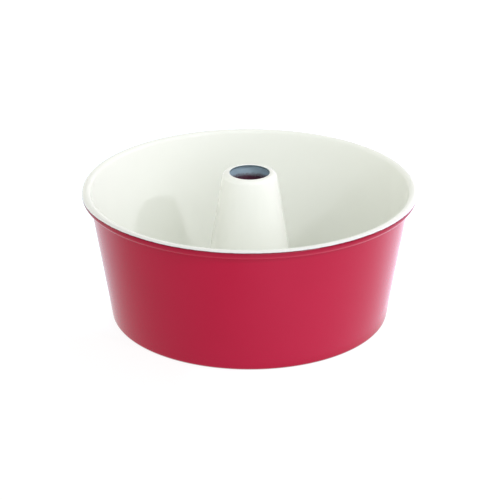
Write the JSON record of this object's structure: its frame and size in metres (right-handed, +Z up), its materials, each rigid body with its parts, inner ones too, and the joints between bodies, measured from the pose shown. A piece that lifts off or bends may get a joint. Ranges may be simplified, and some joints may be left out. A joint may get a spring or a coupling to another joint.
{
  "type": "tube cake pan",
  "caption": "Round tapered cake pan with a rolled rim and a lift-out base that carries a hollow centre tube.",
  "frame": {"origin": "on the pan's axis, on the plane that the pan stands on", "axes": "+Z up along the pan's axis; the pan is round, so X and Y are free"},
  "size_m": [0.267, 0.267, 0.12],
  "materials": {
    "ring_coat": "gloss",
    "base_coat": "gloss",
    "wire_steel": "satin"
  },
  "bodies": {
    "pan": {"pan_ring": "ring_coat", "rim_wire": "wire_steel"},
    "lift_out_base": {"base_plate": "base_coat", "centre_tube": "base_coat"}
  },
  "joints": [
    {"name": "base_lift", "type": "slide", "parent": "pan", "child": "lift_out_base", "axis": [0, 0, 1], "range_m": [0, 0.12]}
  ]
}
